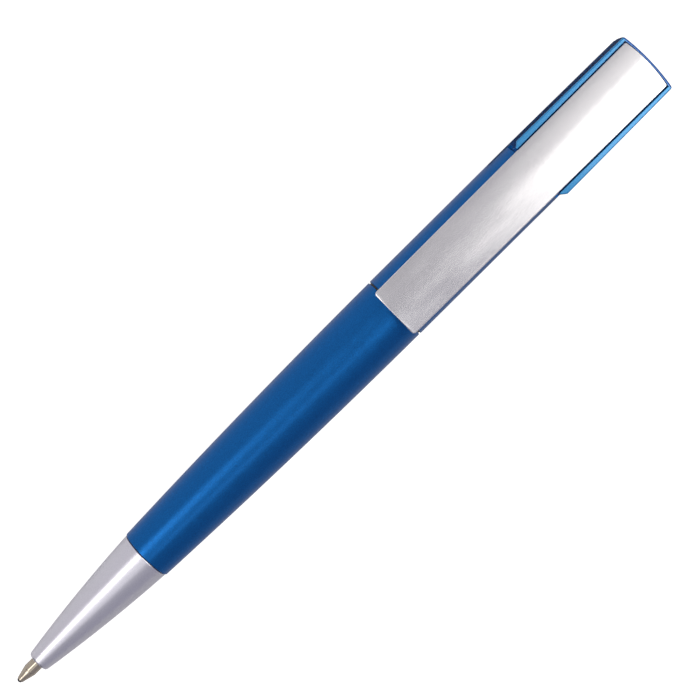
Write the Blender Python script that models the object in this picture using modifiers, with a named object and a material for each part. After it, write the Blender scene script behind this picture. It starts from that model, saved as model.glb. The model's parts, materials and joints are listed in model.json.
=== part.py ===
"""Retractable ballpoint pen with a twist mechanism, lying along X with its clip up.

The writing ball points to -X and the clip faces +Z. Every shape is drawn in pen
coordinates, in millimetres: station (distance from the front of the ball, along the pen),
side (towards +Y) and height (above the pen's axis, towards +Z). The pen is drawn with its
tip out. Turning the upper barrel by TWIST_ANGLE draws the refill back by STROKE.
"""
from math import cos, pi, radians, sin, sqrt, tau

import bmesh
import bpy
from mathutils import Matrix, Vector

MM = 0.001

# Outer shape
LENGTH = 144.0
NOSE_FRONT, NOSE_BACK = 4.35, 29.5
NOSE_FRONT_RADIUS, NOSE_BACK_RADIUS, NOSE_BULGE = 1.965, 4.51, 1.10
NOSE_LIP = 0.85
NOSE_TIP_BORE, NOSE_STEP_BORE, NOSE_SPRING_BORE, NOSE_BACK_BORE = 1.26, 1.7, 2.35, 3.1
NOSE_STEP_FRONT, NOSE_STEP_BACK, NOSE_SPRING_BACK, NOSE_BORE_BACK = 9.5, 12.2, 20.5, 22.2
SHANK_RADIUS, SHANK_BACK, SHANK_GAP = 3.7, 36.4, 0.1
LOWER_FRONT, LOWER_BACK = 29.6, 86.75
LOWER_FRONT_RADIUS, LOWER_BACK_RADIUS, LOWER_BULGE = 4.65, 5.90, 1.13
UPPER_FRONT, UPPER_BACK = 87.05, 143.2
UPPER_RADIUS, UPPER_BACK_RADIUS = 5.93, 5.77
SEAM_CHAMFER = 0.15
BARREL_BORE, UPPER_BACK_BORE, UPPER_BORE_STEP = 4.9, 4.6, 114.6
LOWER_BORES = ((4.05, 42.0), (4.55, 62.0), (BARREL_BORE, 76.0))
AXIS_HEIGHT = UPPER_RADIUS

# Clip and the frame that holds it
CLIP_FRONT, CLIP_BACK = 85.85, 143.25
CLIP_FRONT_HALF_WIDTH, CLIP_BACK_HALF_WIDTH = 4.58, 4.84
CLIP_UNDERSIDE, CLIP_EDGE, CLIP_CROWN = 6.95, 7.6, 0.4
CLIP_CORNER = 0.6
BEAD_STATION, BEAD_RADIUS, BEAD_HALF_LENGTH, BEAD_GAP = 88.6, 1.2, 2.2, 0.12
HINGE_STATION, HINGE_HEIGHT = 140.75, 6.6
FOOT_HALF_LENGTH, FOOT_HALF_WIDTH, FOOT_BOTTOM, FOOT_GAP = 1.25, 3.0, 5.85, 0.25
FRAME_FRONT = 118.4
FRAME_FRONT_HALF_WIDTH, FRAME_BACK_HALF_WIDTH = 5.92, 5.66
FRAME_BOTTOM, FRAME_FLOOR, FRAME_TOP = 1.6, 6.5, 7.55
FRAME_CORNER, FRAME_EDGE = 0.8, 0.35
FRAME_SEAT_RADIUS, FRAME_PLUG_RADIUS = 5.5, 4.5
FRAME_PLUG_FRONT = 138.0
END_WALL_FRONT = 143.35
END_LAND_RADIUS, END_DOME_RADIUS = 3.0, 24.0
GAP = 0.15

# Refill
BALL_RADIUS, SOCKET_CLEARANCE = 0.5, 0.02
TIP_RADIUS, TIP_SHOULDER, TIP_BACK, TIP_TAIL = 1.14, 2.87, 10.5, 13.5
TIP_TAIL_RADIUS, INK_DUCT = 0.95, 0.26
TIP_CONE = ((0.93, 1.89), (0.71, 1.07), (0.54, 0.32))
NECK_RADIUS, NECK_SHOULDER, NECK_BACK, NECK_TAIL = 1.5, 2.75, 24.0, 29.0
TUBE_RADIUS, TUBE_BORE, TUBE_FRONT, TUBE_BACK = 2.95, 2.6, 24.2, 96.5
INK_FRONT, INK_BACK = 29.2, 88.0
PLUG_FRONT, PLUG_BACK, PLUG_RADIUS, PLUG_VENT = 93.5, 98.1, 2.0, 0.5

# Twist mechanism
TWIST_ANGLE, STROKE = pi, 5.5
LUG_STATION, LUG_RADIUS, LUG_REACH = 100.2, 0.8, 4.4
CARRIER_RADIUS, CARRIER_FRONT, CARRIER_BACK = 2.95, 96.8, 102.4
CARRIER_BORE, CARRIER_VENT = 2.2, 0.6
GUIDE_BORE, GUIDE_RADIUS, GUIDE_FRONT, GUIDE_BACK = 3.1, 3.75, 76.0, 111.5
CAM_BORE, CAM_RADIUS, CAM_FRONT, CAM_BACK = 3.9, 4.75, 87.1, 113.0
SLOT_GAP = 0.15
BUSH_FRONT, BUSH_BACK, BUSH_RADIUS = 78.0, 86.3, 4.8
RING_STATION, O_RING_STATION, GROOVE_RADIUS = 90.5, 94.5, 3.42
RING_BORE, RING_RADIUS, O_RING_RADIUS, RING_HALF = 3.47, 4.12, 3.86, 0.4
CAM_GROOVE, CAM_GROOVE_HALF = 4.2, 0.5
CAP_BACK, CAP_VENT = 114.3, 0.7

# Return spring
SPRING_RADIUS, SPRING_WIRE, SPRING_TURNS = 2.0, 0.2, 7
SPRING_FRONT, SPRING_BACK = 12.45, 23.75

OUTER_STEPS, INNER_STEPS = 64, 28

COLOURS = {
    "satin_blue": ((0.011, 0.105, 0.352), 0.38, 0.75),
    "gloss_blue": ((0.006, 0.150, 0.560), 0.08, 0.20),
    "satin_silver": ((0.62, 0.62, 0.66), 0.30, 0.95),
    "nickel_silver": ((0.55, 0.50, 0.43), 0.22, 1.00),
    "carbide": ((0.06, 0.06, 0.07), 0.15, 1.00),
    "brass": ((0.70, 0.52, 0.22), 0.30, 1.00),
    "spring_steel": ((0.55, 0.55, 0.56), 0.28, 1.00),
    "black_acetal": ((0.012, 0.012, 0.013), 0.45, 0.00),
    "white_acetal": ((0.70, 0.70, 0.68), 0.45, 0.00),
    "black_rubber": ((0.010, 0.010, 0.010), 0.80, 0.00),
    "blue_ink": ((0.004, 0.008, 0.090), 0.20, 0.00),
}


def clear_scene():
    """Remove every object, so that the file holds only the pen."""
    for ob in list(bpy.data.objects):
        bpy.data.objects.remove(ob, do_unlink=True)


def new_collection(name):
    """A collection linked to the scene."""
    collection = bpy.data.collections.new(name)
    bpy.context.scene.collection.children.link(collection)
    return collection


def new_material(name, colour, roughness, metallic):
    """A Principled material with one colour."""
    material = bpy.data.materials.new(name)
    material.use_nodes = True
    shader = material.node_tree.nodes["Principled BSDF"]
    shader.inputs["Base Color"].default_value = (*colour, 1.0)
    shader.inputs["Roughness"].default_value = roughness
    shader.inputs["Metallic"].default_value = metallic
    return material


clear_scene()
PEN = new_collection("twist_ballpoint_pen")
CUTTERS = new_collection("cutters")
MATERIALS = {name: new_material(name, *look) for name, look in COLOURS.items()}
TIP_POINT = Vector((-LENGTH / 2, 0.0, AXIS_HEIGHT)) * MM


def pivot(name, station=0.0, height=0.0):
    """An empty on a joint's axis, which carries the pieces of one moving body."""
    empty = bpy.data.objects.new(name, None)
    empty.location = TIP_POINT + Vector((station, 0.0, height)) * MM
    empty.empty_display_size = 0.01
    PEN.objects.link(empty)
    return empty


def place(name, mesh, parent, material):
    """Put a mesh drawn in pen coordinates under a pivot; with no pivot it is a cutter."""
    ob = bpy.data.objects.new(name, mesh)
    ob.location = TIP_POINT
    if parent is None:
        ob.hide_render = True
        ob.display_type = "WIRE"
        CUTTERS.objects.link(ob)
        return ob
    ob.parent = parent
    ob.location = TIP_POINT - parent.location
    ob.data.materials.append(MATERIALS[material])
    PEN.objects.link(ob)
    return ob


def turned(name, outline, parent=None, material=None, steps=INNER_STEPS):
    """Turn an outline of (radius, station) about the pen's axis.

    The outline runs down the outer side, from the pen's top towards its tip, and back up
    the inner side. One that starts and ends on the axis makes a solid piece.
    """
    mesh = bpy.data.meshes.new(name)
    points = [(radius * MM, 0.0, station * MM) for radius, station in outline]
    edges = [(i, i + 1) for i in range(len(points) - 1)]
    if outline[0][0] > 0:
        edges.append((len(points) - 1, 0))
    mesh.from_pydata(points, edges, [])
    ob = place(name, mesh, parent, material)
    ob.rotation_euler = (0.0, pi / 2, 0.0)
    screw = ob.modifiers.new("turn", "SCREW")
    screw.axis = "Z"
    screw.angle = tau
    screw.steps = steps
    screw.render_steps = steps
    screw.use_merge_vertices = True
    screw.merge_threshold = 1e-7
    screw.use_smooth_shade = True
    return ob


def tube(name, bore, radius, front, back, parent=None, material=None, chamfer=0.1):
    """A plain turned tube with its outer edges chamfered."""
    outline = [(radius - chamfer, back), (radius, back - chamfer)]
    outline += [(radius, front + chamfer), (radius - chamfer, front)]
    outline += [(bore, front), (bore, back)]
    return turned(name, outline, parent, material)


def rod_cutter(name, radius, front, back, steps=OUTER_STEPS):
    """A solid turned cutter."""
    outline = [(0.0, back), (radius, back), (radius, front), (0.0, front)]
    return turned(name, outline, steps=steps)


def block_mesh(name, low, high):
    """A box between two corners, in pen coordinates."""
    mesh = bpy.data.meshes.new(name)
    bm = bmesh.new()
    low, high = Vector(low) * MM, Vector(high) * MM
    size = Matrix.Diagonal((*(high - low), 1.0))
    bmesh.ops.create_cube(bm, size=1.0, matrix=Matrix.Translation((low + high) / 2) @ size)
    bm.to_mesh(mesh)
    bm.free()
    return mesh


def block_cutter(name, low, high):
    """A box cutter between two corners."""
    return place(name, block_mesh(name, low, high), None, None)


def boolean(ob, tool, operation):
    """Cut an object with a tool, or join or intersect it with one."""
    modifier = ob.modifiers.new(tool.name, "BOOLEAN")
    modifier.operation = operation
    modifier.solver = "EXACT"
    modifier.object = tool
    return modifier


def bulged(front, back, front_radius, back_radius, bulge, count):
    """Points of a gently convex taper, from its back to its front, as (radius, station)."""
    points = []
    for i in range(count + 1):
        u = 1.0 - i / count
        radius = front_radius + (back_radius - front_radius) * u + bulge * u * (1.0 - u)
        points.append((radius, front + (back - front) * u))
    return points


def make_nose_cone(body):
    """Silver cone with the tip's bore, the spring's chamber and a shank that screws in."""
    lip = NOSE_FRONT + NOSE_LIP
    outline = [(NOSE_BACK_BORE, SHANK_BACK), (SHANK_RADIUS - 0.15, SHANK_BACK)]
    outline += [(SHANK_RADIUS, SHANK_BACK - 0.2), (SHANK_RADIUS, NOSE_BACK)]
    outline += bulged(lip, NOSE_BACK, NOSE_FRONT_RADIUS, NOSE_BACK_RADIUS, NOSE_BULGE, 8)
    outline += [(NOSE_FRONT_RADIUS - 0.085, NOSE_FRONT + 0.35), (NOSE_FRONT_RADIUS - 0.345, NOSE_FRONT)]
    outline += [(NOSE_TIP_BORE, NOSE_FRONT), (NOSE_TIP_BORE, NOSE_STEP_FRONT)]
    outline += [(NOSE_STEP_BORE, NOSE_STEP_FRONT + 0.7), (NOSE_STEP_BORE, NOSE_STEP_BACK)]
    outline += [(NOSE_SPRING_BORE, NOSE_STEP_BACK), (NOSE_SPRING_BORE, NOSE_SPRING_BACK)]
    outline += [(NOSE_BACK_BORE, NOSE_BORE_BACK)]
    return turned("nose_cone", outline, body, "satin_silver", OUTER_STEPS)


def make_lower_barrel(body):
    """Blue grip barrel, tapering towards the nose cone, with a thin even wall."""
    outer = bulged(LOWER_FRONT, LOWER_BACK, LOWER_FRONT_RADIUS, LOWER_BACK_RADIUS, LOWER_BULGE, 9)
    outline = [(LOWER_BACK_RADIUS - SEAM_CHAMFER, LOWER_BACK)]
    outline += [(LOWER_BACK_RADIUS, LOWER_BACK - SEAM_CHAMFER)] + outer[1:]
    front_bore = SHANK_RADIUS + SHANK_GAP
    outline += [(front_bore, LOWER_FRONT), (front_bore, SHANK_BACK + 0.6), *LOWER_BORES]
    outline += [(BARREL_BORE, LOWER_BACK)]
    return turned("lower_barrel", outline, body, "satin_blue", OUTER_STEPS)


def make_upper_barrel(body):
    """Blue upper barrel, which turns; its back is let down to take the clip frame."""
    outline = [(UPPER_BACK_RADIUS - SEAM_CHAMFER, UPPER_BACK)]
    outline += [(UPPER_BACK_RADIUS, UPPER_BACK - SEAM_CHAMFER), (UPPER_RADIUS, FRAME_FRONT)]
    outline += [(UPPER_RADIUS, UPPER_FRONT + SEAM_CHAMFER), (UPPER_RADIUS - SEAM_CHAMFER, UPPER_FRONT)]
    outline += [(BARREL_BORE, UPPER_FRONT), (BARREL_BORE, UPPER_BORE_STEP)]
    outline += [(UPPER_BACK_BORE, UPPER_BORE_STEP + 0.3), (UPPER_BACK_BORE, UPPER_BACK)]
    barrel = turned("upper_barrel", outline, body, "satin_blue", OUTER_STEPS)
    seat = block_cutter("seat_block", (FRAME_FRONT - GAP, -9, FRAME_BOTTOM - GAP), (LENGTH + 3, 9, 10))
    core = rod_cutter("seat_core", FRAME_SEAT_RADIUS - GAP, FRAME_FRONT - 3, LENGTH + 6)
    boolean(seat, core, "DIFFERENCE")
    boolean(barrel, seat, "DIFFERENCE")
    return barrel


def clip_half_width(station):
    """Half the clip's width, which grows slowly towards the pen's top."""
    share = (station - CLIP_FRONT) / (CLIP_BACK - CLIP_FRONT)
    return CLIP_FRONT_HALF_WIDTH + (CLIP_BACK_HALF_WIDTH - CLIP_FRONT_HALF_WIDTH) * share


def taper_sides(mesh, front, back, front_half, back_half):
    """Narrow or widen a block evenly from its front to its back."""
    for vertex in mesh.vertices:
        share = (vertex.co.x / MM - front) / (back - front)
        half = front_half + (back_half - front_half) * share
        vertex.co.y *= half / front_half


def frame_cutters():
    """What is taken out of the clip frame: the barrel's seat, the clip's channel, its foot's slot."""
    seat = rod_cutter("frame_seat", FRAME_SEAT_RADIUS, FRAME_FRONT - 5, END_WALL_FRONT)
    front, back = FRAME_FRONT - 2, END_WALL_FRONT + 0.05
    front_half, back_half = clip_half_width(front) + GAP, clip_half_width(back) + GAP
    mesh = block_mesh("frame_channel", (front, -front_half, FRAME_FLOOR), (back, front_half, 10))
    taper_sides(mesh, front, back, front_half, back_half)
    channel = place("frame_channel", mesh, None, None)
    reach, side = FOOT_HALF_LENGTH + FOOT_GAP, FOOT_HALF_WIDTH + FOOT_GAP
    low = (HINGE_STATION - reach, -side, FRAME_SEAT_RADIUS - 0.3)
    foot = block_cutter("frame_foot_slot", low, (HINGE_STATION + reach, side, FRAME_FLOOR + 0.5))
    return seat, channel, foot


def make_clip_frame(body):
    """Glossy blue saddle with two side rims, an end wall and a plug in the barrel's end."""
    half = FRAME_FRONT_HALF_WIDTH
    back = LENGTH + 1
    mesh = block_mesh("clip_frame", (FRAME_FRONT, -half, FRAME_BOTTOM), (back, half, FRAME_TOP))
    taper_sides(mesh, FRAME_FRONT, back, half, FRAME_BACK_HALF_WIDTH)
    bm = bmesh.new()
    bm.from_mesh(mesh)
    front = (FRAME_FRONT + 0.01) * MM
    corners = [e for e in bm.edges if all(v.co.x < front for v in e.verts)
               and abs(e.verts[0].co.y - e.verts[1].co.y) < MM]
    bmesh.ops.bevel(bm, geom=corners, offset=FRAME_CORNER * MM, segments=2, affect="EDGES", profile=0.3)
    middle = (FRAME_BOTTOM + FRAME_TOP) / 2 * MM
    top = [e for e in bm.edges if all(v.co.z > middle for v in e.verts)
           and not all(v.co.x > LENGTH * MM for v in e.verts)]
    bmesh.ops.bevel(bm, geom=top, offset=FRAME_EDGE * MM, segments=3, affect="EDGES", profile=0.5)
    bm.to_mesh(mesh)
    bm.free()
    frame = place("clip_frame", mesh, body, "gloss_blue")
    for cutter in frame_cutters():
        boolean(frame, cutter, "DIFFERENCE")
    wall = UPPER_BACK_RADIUS - 0.06
    outline = [(0.0, LENGTH + 1), (wall, LENGTH + 1)]
    outline += [(wall, END_WALL_FRONT), (FRAME_PLUG_RADIUS, END_WALL_FRONT)]
    outline += [(FRAME_PLUG_RADIUS, FRAME_PLUG_FRONT + 0.3), (FRAME_PLUG_RADIUS - 0.3, FRAME_PLUG_FRONT)]
    outline += [(0.0, FRAME_PLUG_FRONT)]
    boolean(frame, turned("frame_plug", outline, steps=OUTER_STEPS), "UNION")
    boolean(frame, end_dome(), "INTERSECT")
    return frame


def end_dome():
    """A rod whose end is a flat land with a shallow dome round it, which shapes the top end."""
    outline = [(0.0, LENGTH)]
    for reach in (0.0, 1.75, 3.5, 5.25, 7.0):
        drop = END_DOME_RADIUS - sqrt(END_DOME_RADIUS ** 2 - reach ** 2)
        outline.append((END_LAND_RADIUS + reach, LENGTH - drop))
    outline += [(10.0, FRAME_FRONT - 5), (0.0, FRAME_FRONT - 5)]
    return turned("end_dome", outline, steps=OUTER_STEPS)


def make_clip(body):
    """Silver spring clip: a crowned plate, a foot in the frame and a bead that grips cloth."""
    low = (CLIP_FRONT, -CLIP_FRONT_HALF_WIDTH, CLIP_UNDERSIDE)
    mesh = block_mesh("clip", low, (CLIP_BACK, CLIP_FRONT_HALF_WIDTH, CLIP_EDGE))
    bm = bmesh.new()
    bm.from_mesh(mesh)
    upright = [e for e in bm.edges if abs(e.verts[0].co.z - e.verts[1].co.z) > 0.1 * MM]
    bmesh.ops.bevel(bm, geom=upright, offset=CLIP_CORNER * MM, segments=3, affect="EDGES", profile=0.5)
    cuts = 8
    for i in range(1, cuts):
        side = (2 * i / cuts - 1) * CLIP_FRONT_HALF_WIDTH * MM
        geometry = bm.verts[:] + bm.edges[:] + bm.faces[:]
        bmesh.ops.bisect_plane(bm, geom=geometry, plane_co=(0, side, 0), plane_no=(0, 1, 0))
    middle = (CLIP_UNDERSIDE + CLIP_EDGE) / 2 * MM
    for vertex in bm.verts:
        if vertex.co.z > middle:
            share = vertex.co.y / (CLIP_FRONT_HALF_WIDTH * MM)
            vertex.co.z += CLIP_CROWN * MM * (1 - share * share)
    bm.to_mesh(mesh)
    bm.free()
    taper_sides(mesh, CLIP_FRONT, CLIP_BACK, CLIP_FRONT_HALF_WIDTH, CLIP_BACK_HALF_WIDTH)
    clip = place("clip", mesh, body, "satin_silver")
    low = (HINGE_STATION - FOOT_HALF_LENGTH, -FOOT_HALF_WIDTH, FOOT_BOTTOM)
    high = (HINGE_STATION + FOOT_HALF_LENGTH, FOOT_HALF_WIDTH, CLIP_UNDERSIDE + 0.3)
    boolean(clip, block_cutter("clip_foot", low, high), "UNION")
    boolean(clip, bead_tool(), "UNION")
    return clip


def rod_mesh(bm, radius, length, middle):
    """Add a rod across the pen to a bmesh, centred on a point in pen coordinates."""
    across = Matrix.Translation(Vector(middle) * MM) @ Matrix.Rotation(pi / 2, 4, "X")
    bmesh.ops.create_cone(bm, cap_ends=True, segments=20, radius1=radius * MM, radius2=radius * MM,
                          depth=length * MM, matrix=across)


def bead_tool():
    """The rounded ridge under the clip's free end, across the clip."""
    mesh = bpy.data.meshes.new("clip_bead")
    bm = bmesh.new()
    height = UPPER_RADIUS + BEAD_GAP + BEAD_RADIUS
    rod_mesh(bm, BEAD_RADIUS, 2 * BEAD_HALF_LENGTH, (BEAD_STATION, 0.0, height))
    top = (CLIP_UNDERSIDE + 0.3) * MM
    geometry = bm.verts[:] + bm.edges[:] + bm.faces[:]
    bmesh.ops.bisect_plane(bm, geom=geometry, plane_co=(0, 0, top), plane_no=(0, 0, 1), clear_outer=True)
    bmesh.ops.holes_fill(bm, edges=bm.edges[:])
    bm.to_mesh(mesh)
    bm.free()
    return place("clip_bead", mesh, None, None)


def arc(centre, radius, start, end, count):
    """Points of an arc as (radius, station); angles are measured from the tip's direction."""
    points = []
    for i in range(count + 1):
        angle = start + (end - start) * i / count
        points.append((radius * sin(angle), centre - radius * cos(angle)))
    return points


def make_writing_ball(body):
    """The carbide ball that rolls the ink onto the paper."""
    mesh = bpy.data.meshes.new("writing_ball")
    bm = bmesh.new()
    centre = Matrix.Translation((BALL_RADIUS * MM, 0.0, 0.0))
    bmesh.ops.create_uvsphere(bm, u_segments=20, v_segments=12, radius=BALL_RADIUS * MM, matrix=centre)
    bm.to_mesh(mesh)
    bm.free()
    mesh.shade_smooth()
    return place("writing_ball", mesh, body, "carbide")


def make_writing_tip(body):
    """Nickel-silver cone whose rim is turned in over the ball, with an ink duct."""
    socket = BALL_RADIUS + SOCKET_CLEARANCE
    outline = [(TIP_TAIL_RADIUS, TIP_TAIL), (TIP_TAIL_RADIUS, TIP_BACK)]
    outline += [(TIP_RADIUS, TIP_BACK), (TIP_RADIUS, TIP_SHOULDER), *TIP_CONE]
    outline += arc(BALL_RADIUS, socket, radians(68), radians(150), 6)
    outline += [(INK_DUCT, TIP_TAIL)]
    return turned("writing_tip", outline, body, "nickel_silver")


def make_refill(body):
    """The rest of the refill: neck, tube, ink and the plug at its back."""
    plug, duct = TUBE_BORE - 0.08, 0.6
    outline = [(plug, NECK_TAIL), (plug, TUBE_FRONT + 0.1)]
    outline += [(NECK_SHOULDER, TUBE_FRONT - 0.1), (NECK_SHOULDER, NECK_BACK), (NECK_RADIUS, NECK_BACK)]
    outline += [(NECK_RADIUS, TIP_BACK + 0.5), (NECK_RADIUS - 0.2, TIP_BACK + 0.15)]
    outline += [(TIP_TAIL_RADIUS + 0.05, TIP_BACK + 0.15), (TIP_TAIL_RADIUS + 0.05, TIP_TAIL + 0.2)]
    outline += [(duct, TIP_TAIL + 0.2), (duct, NECK_TAIL)]
    turned("refill_neck", outline, body, "brass")
    tube("ink_tube", TUBE_BORE, TUBE_RADIUS, TUBE_FRONT, TUBE_BACK, body, "spring_steel")
    fill = TUBE_BORE - 0.05
    outline = [(0.0, INK_BACK), (fill, INK_BACK), (fill, INK_FRONT), (0.0, INK_FRONT)]
    turned("ink_column", outline, body, "blue_ink")
    outline = [(PLUG_RADIUS - 0.2, PLUG_BACK), (PLUG_RADIUS, PLUG_BACK - 0.2)]
    outline += [(PLUG_RADIUS, TUBE_BACK + 0.1), (fill, TUBE_BACK + 0.1), (fill, PLUG_FRONT)]
    outline += [(PLUG_VENT, PLUG_FRONT), (PLUG_VENT, PLUG_BACK)]
    turned("refill_plug", outline, body, "white_acetal")


def make_refill_carrier(body):
    """The slider behind the refill, with two lugs that run in the slots of both sleeves."""
    outline = [(CARRIER_RADIUS - 0.3, CARRIER_BACK), (CARRIER_RADIUS, CARRIER_BACK - 0.3)]
    outline += [(CARRIER_RADIUS, CARRIER_FRONT), (CARRIER_BORE, CARRIER_FRONT)]
    outline += [(CARRIER_BORE, PLUG_BACK + 0.15), (CARRIER_VENT, PLUG_BACK + 0.15)]
    outline += [(CARRIER_VENT, CARRIER_BACK)]
    carrier = turned("refill_carrier", outline, body, "white_acetal")
    for side in (1, -1):
        mesh = bpy.data.meshes.new("carrier_lug")
        bm = bmesh.new()
        inner = CARRIER_RADIUS / 2
        middle = (LUG_STATION, side * (inner + LUG_REACH) / 2, 0.0)
        rod_mesh(bm, LUG_RADIUS, LUG_REACH - inner, middle)
        bm.to_mesh(mesh)
        bm.free()
        boolean(carrier, place("carrier_lug", mesh, None, None), "UNION")
    return carrier


def grooved(radius, bore, front, back, grooves, floor, half_width=0.5):
    """An outline of a tube with ring grooves around its outside."""
    outline = [(radius, back)]
    for station in sorted(grooves, reverse=True):
        outline += [(radius, station + half_width), (floor, station + half_width)]
        outline += [(floor, station - half_width), (radius, station - half_width)]
    return outline + [(radius, front), (bore, front), (bore, back)]


def make_guide_sleeve(body):
    """Fixed inner sleeve with two straight slots, open at the top, that stop the lugs turning."""
    grooves = (RING_STATION, O_RING_STATION)
    outline = grooved(GUIDE_RADIUS, GUIDE_BORE, GUIDE_FRONT, GUIDE_BACK, grooves, GROOVE_RADIUS)
    guide = turned("guide_sleeve", outline, body, "brass")
    half = LUG_RADIUS + SLOT_GAP
    low = (LUG_STATION - half, -9, -half)
    boolean(guide, block_cutter("guide_slots", low, (GUIDE_BACK + 2, 9, half)), "DIFFERENCE")
    return guide


def helical_cutter(name, start_angle):
    """A band that follows the cam's helix; angles are about the pen's axis, from +Y towards +Z."""
    steps = 26
    pitch = STROKE / TWIST_ANGLE
    middle = (CAM_BORE + CAM_RADIUS) / 2
    slope = sqrt(1 + (pitch / middle) ** 2)
    half = (LUG_RADIUS + SLOT_GAP) * slope
    run_out = (LUG_RADIUS + SLOT_GAP) / middle
    inner, outer = CAM_BORE - 0.6, CAM_RADIUS + 0.6
    mesh = bpy.data.meshes.new(name)
    bm = bmesh.new()
    rings = []
    for i in range(steps + 1):
        turn = -run_out + (TWIST_ANGLE + 2 * run_out) * i / steps
        angle = start_angle - turn
        station = LUG_STATION + pitch * turn
        corners = ((inner, -half), (outer, -half), (outer, half), (inner, half))
        rings.append([bm.verts.new(Vector((station + rise, r * cos(angle), r * sin(angle))) * MM)
                      for r, rise in corners])
    for near, far in zip(rings, rings[1:]):
        for i in range(4):
            j = (i + 1) % 4
            bm.faces.new((near[i], near[j], far[j], far[i]))
    bm.faces.new(rings[0][::-1])
    bm.faces.new(rings[-1])
    bmesh.ops.recalc_face_normals(bm, faces=bm.faces[:])
    bm.to_mesh(mesh)
    bm.free()
    return place(name, mesh, None, None)


def make_cam_sleeve(body):
    """Outer sleeve that turns with the upper barrel; its helical slots drive the lugs."""
    outline = [(CAM_RADIUS, CAM_BACK), (CAM_RADIUS, CAM_FRONT), (CAM_BORE, CAM_FRONT)]
    near, far = RING_STATION - CAM_GROOVE_HALF, RING_STATION + CAM_GROOVE_HALF
    outline += [(CAM_BORE, near), (CAM_GROOVE, near), (CAM_GROOVE, far), (CAM_BORE, far)]
    outline += [(CAM_BORE, CAM_BACK)]
    cam = turned("cam_sleeve", outline, body, "black_acetal")
    for number, start in enumerate((0.0, pi)):
        boolean(cam, helical_cutter("cam_slot_%d" % number, start), "DIFFERENCE")
    return cam


def make_rings(body):
    """The split retaining ring, the friction ring, the bush and the slip washer."""
    front, back = RING_STATION - RING_HALF, RING_STATION + RING_HALF
    ring = tube("retaining_ring", RING_BORE, RING_RADIUS, front, back, body, "spring_steel", 0.05)
    low = (RING_STATION - 1, -0.6, 0)
    boolean(ring, block_cutter("ring_split", low, (RING_STATION + 1, 0.6, 6)), "DIFFERENCE")
    front, back = O_RING_STATION - RING_HALF, O_RING_STATION + RING_HALF
    tube("friction_ring", RING_BORE, O_RING_RADIUS, front, back, body, "black_rubber", 0.15)
    tube("centre_bush", GUIDE_RADIUS + 0.05, BUSH_RADIUS, BUSH_FRONT, BUSH_BACK, body, "brass", 0.2)
    front, back = BUSH_BACK + 0.15, CAM_FRONT - 0.15
    tube("slip_washer", GUIDE_RADIUS + 0.1, BUSH_RADIUS, front, back, body, "black_acetal", 0.05)


def make_mechanism_cap(body):
    """The plug that closes the cam sleeve's top end, with a vent."""
    plug = CAM_BORE - 0.08
    outline = [(CAM_RADIUS - 0.2, CAP_BACK), (CAM_RADIUS, CAP_BACK - 0.2), (CAM_RADIUS, CAM_BACK + 0.1)]
    outline += [(plug, CAM_BACK + 0.1), (plug, GUIDE_BACK + 0.3)]
    outline += [(CAP_VENT, GUIDE_BACK + 0.3), (CAP_VENT, CAP_BACK)]
    return turned("mechanism_cap", outline, body, "black_acetal")


def make_return_spring(body):
    """Compression spring round the refill's neck, with closed ends, squeezed by the cam."""
    per_turn = 10
    total = SPRING_TURNS * per_turn
    closed_pitch = 2.2 * SPRING_WIRE
    open_rise = SPRING_BACK - SPRING_FRONT - 2 * SPRING_WIRE - 2 * closed_pitch
    curve = bpy.data.curves.new("return_spring", "CURVE")
    curve.dimensions = "3D"
    curve.bevel_depth = SPRING_WIRE * MM
    curve.bevel_resolution = 2
    curve.use_fill_caps = True
    spline = curve.splines.new("POLY")
    spline.points.add(total)
    for i, point in enumerate(spline.points):
        turn = i / per_turn
        first = min(turn, 1.0)
        last = max(turn - (SPRING_TURNS - 1.0), 0.0)
        share = (turn - first - last) / (SPRING_TURNS - 2.0)
        rise = closed_pitch * (first + last) + open_rise * share
        angle = tau * turn
        station = SPRING_FRONT + SPRING_WIRE + rise
        point.co = (station * MM, SPRING_RADIUS * cos(angle) * MM, SPRING_RADIUS * sin(angle) * MM, 1.0)
    return place("return_spring", curve, body, "spring_steel")


def build_pen():
    """Make every piece under the pivot of the body that it moves with."""
    lower = pivot("lower_body", LOWER_BACK)
    upper = pivot("upper_body", UPPER_FRONT)
    refill = pivot("refill_body")
    hinge = pivot("clip_hinge", HINGE_STATION, HINGE_HEIGHT)
    ball = pivot("ball_centre", BALL_RADIUS)
    make_nose_cone(lower)
    make_lower_barrel(lower)
    make_guide_sleeve(lower)
    make_rings(lower)
    make_return_spring(lower)
    make_upper_barrel(upper)
    make_clip_frame(upper)
    make_cam_sleeve(upper)
    make_mechanism_cap(upper)
    make_clip(hinge)
    make_writing_tip(refill)
    make_refill(refill)
    make_refill_carrier(refill)
    make_writing_ball(ball)


build_pen()
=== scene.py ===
"""Looks of the twist-action ballpoint pen: fine surfaces, materials, studio and camera.

Shapes are drawn in pen coordinates, in millimetres: station (from the front of the ball,
along the pen), side (towards +Y) and height (above the pen's axis, towards +Z).
"""

import json
from math import acos, asin, cos, hypot, pi, radians, sin, sqrt, tan, tau

import bmesh
import bpy
from mathutils import Matrix, Vector

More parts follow.
